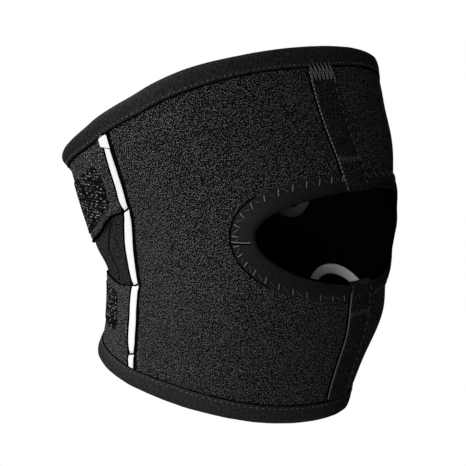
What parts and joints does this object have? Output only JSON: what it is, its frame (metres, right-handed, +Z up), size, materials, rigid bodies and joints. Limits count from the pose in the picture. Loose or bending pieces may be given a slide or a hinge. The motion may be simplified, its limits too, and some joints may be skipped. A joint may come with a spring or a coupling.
{
  "type": "open-patella knee brace",
  "caption": "Pull-on knee brace of padded knit with a bound kneecap opening, a front seam strip, reflective side tapes and hook-and-loop tabs behind the knee.",
  "frame": {"origin": "on the axis of the leg at the middle of the knee, just below the middle of the kneecap opening", "axes": "+Z up the leg towards the thigh, -Y to the front of the knee, -X to the wearer's right"},
  "size_m": [0.1542, 0.1451, 0.1602],
  "materials": {
    "knit_neoprene": "charcoal plain knit laminated on neoprene, slightly sparkling",
    "stretch_knit": "black stretch knit, matt",
    "satin_binding": "black warp-knit binding, soft satin",
    "reflective_tape": "white retro-reflective tape, smooth",
    "loop_pile": "black loop pile in rows",
    "silicone": "light grey printed silicone, semi-matt"
  },
  "bodies": {
    "root": {"side_panel_right": "knit_neoprene", "side_panel_left": "knit_neoprene", "front_strip_upper": "stretch_knit", "front_strip_lower": "stretch_knit", "opening_binding_right": "satin_binding", "opening_binding_left": "satin_binding", "top_binding": "satin_binding", "bottom_binding": "satin_binding", "reflective_tape_right": "reflective_tape", "reflective_tape_left": "reflective_tape", "back_panel": "stretch_knit", "upper_tab_right": "stretch_knit", "lower_tab_right": "stretch_knit", "upper_tab_left": "stretch_knit", "lower_tab_left": "stretch_knit", "upper_loop_patch": "loop_pile", "lower_loop_patch": "loop_pile", "grip_wave_upper": "silicone", "grip_wave_lower": "silicone"}
  },
  "joints": []
}
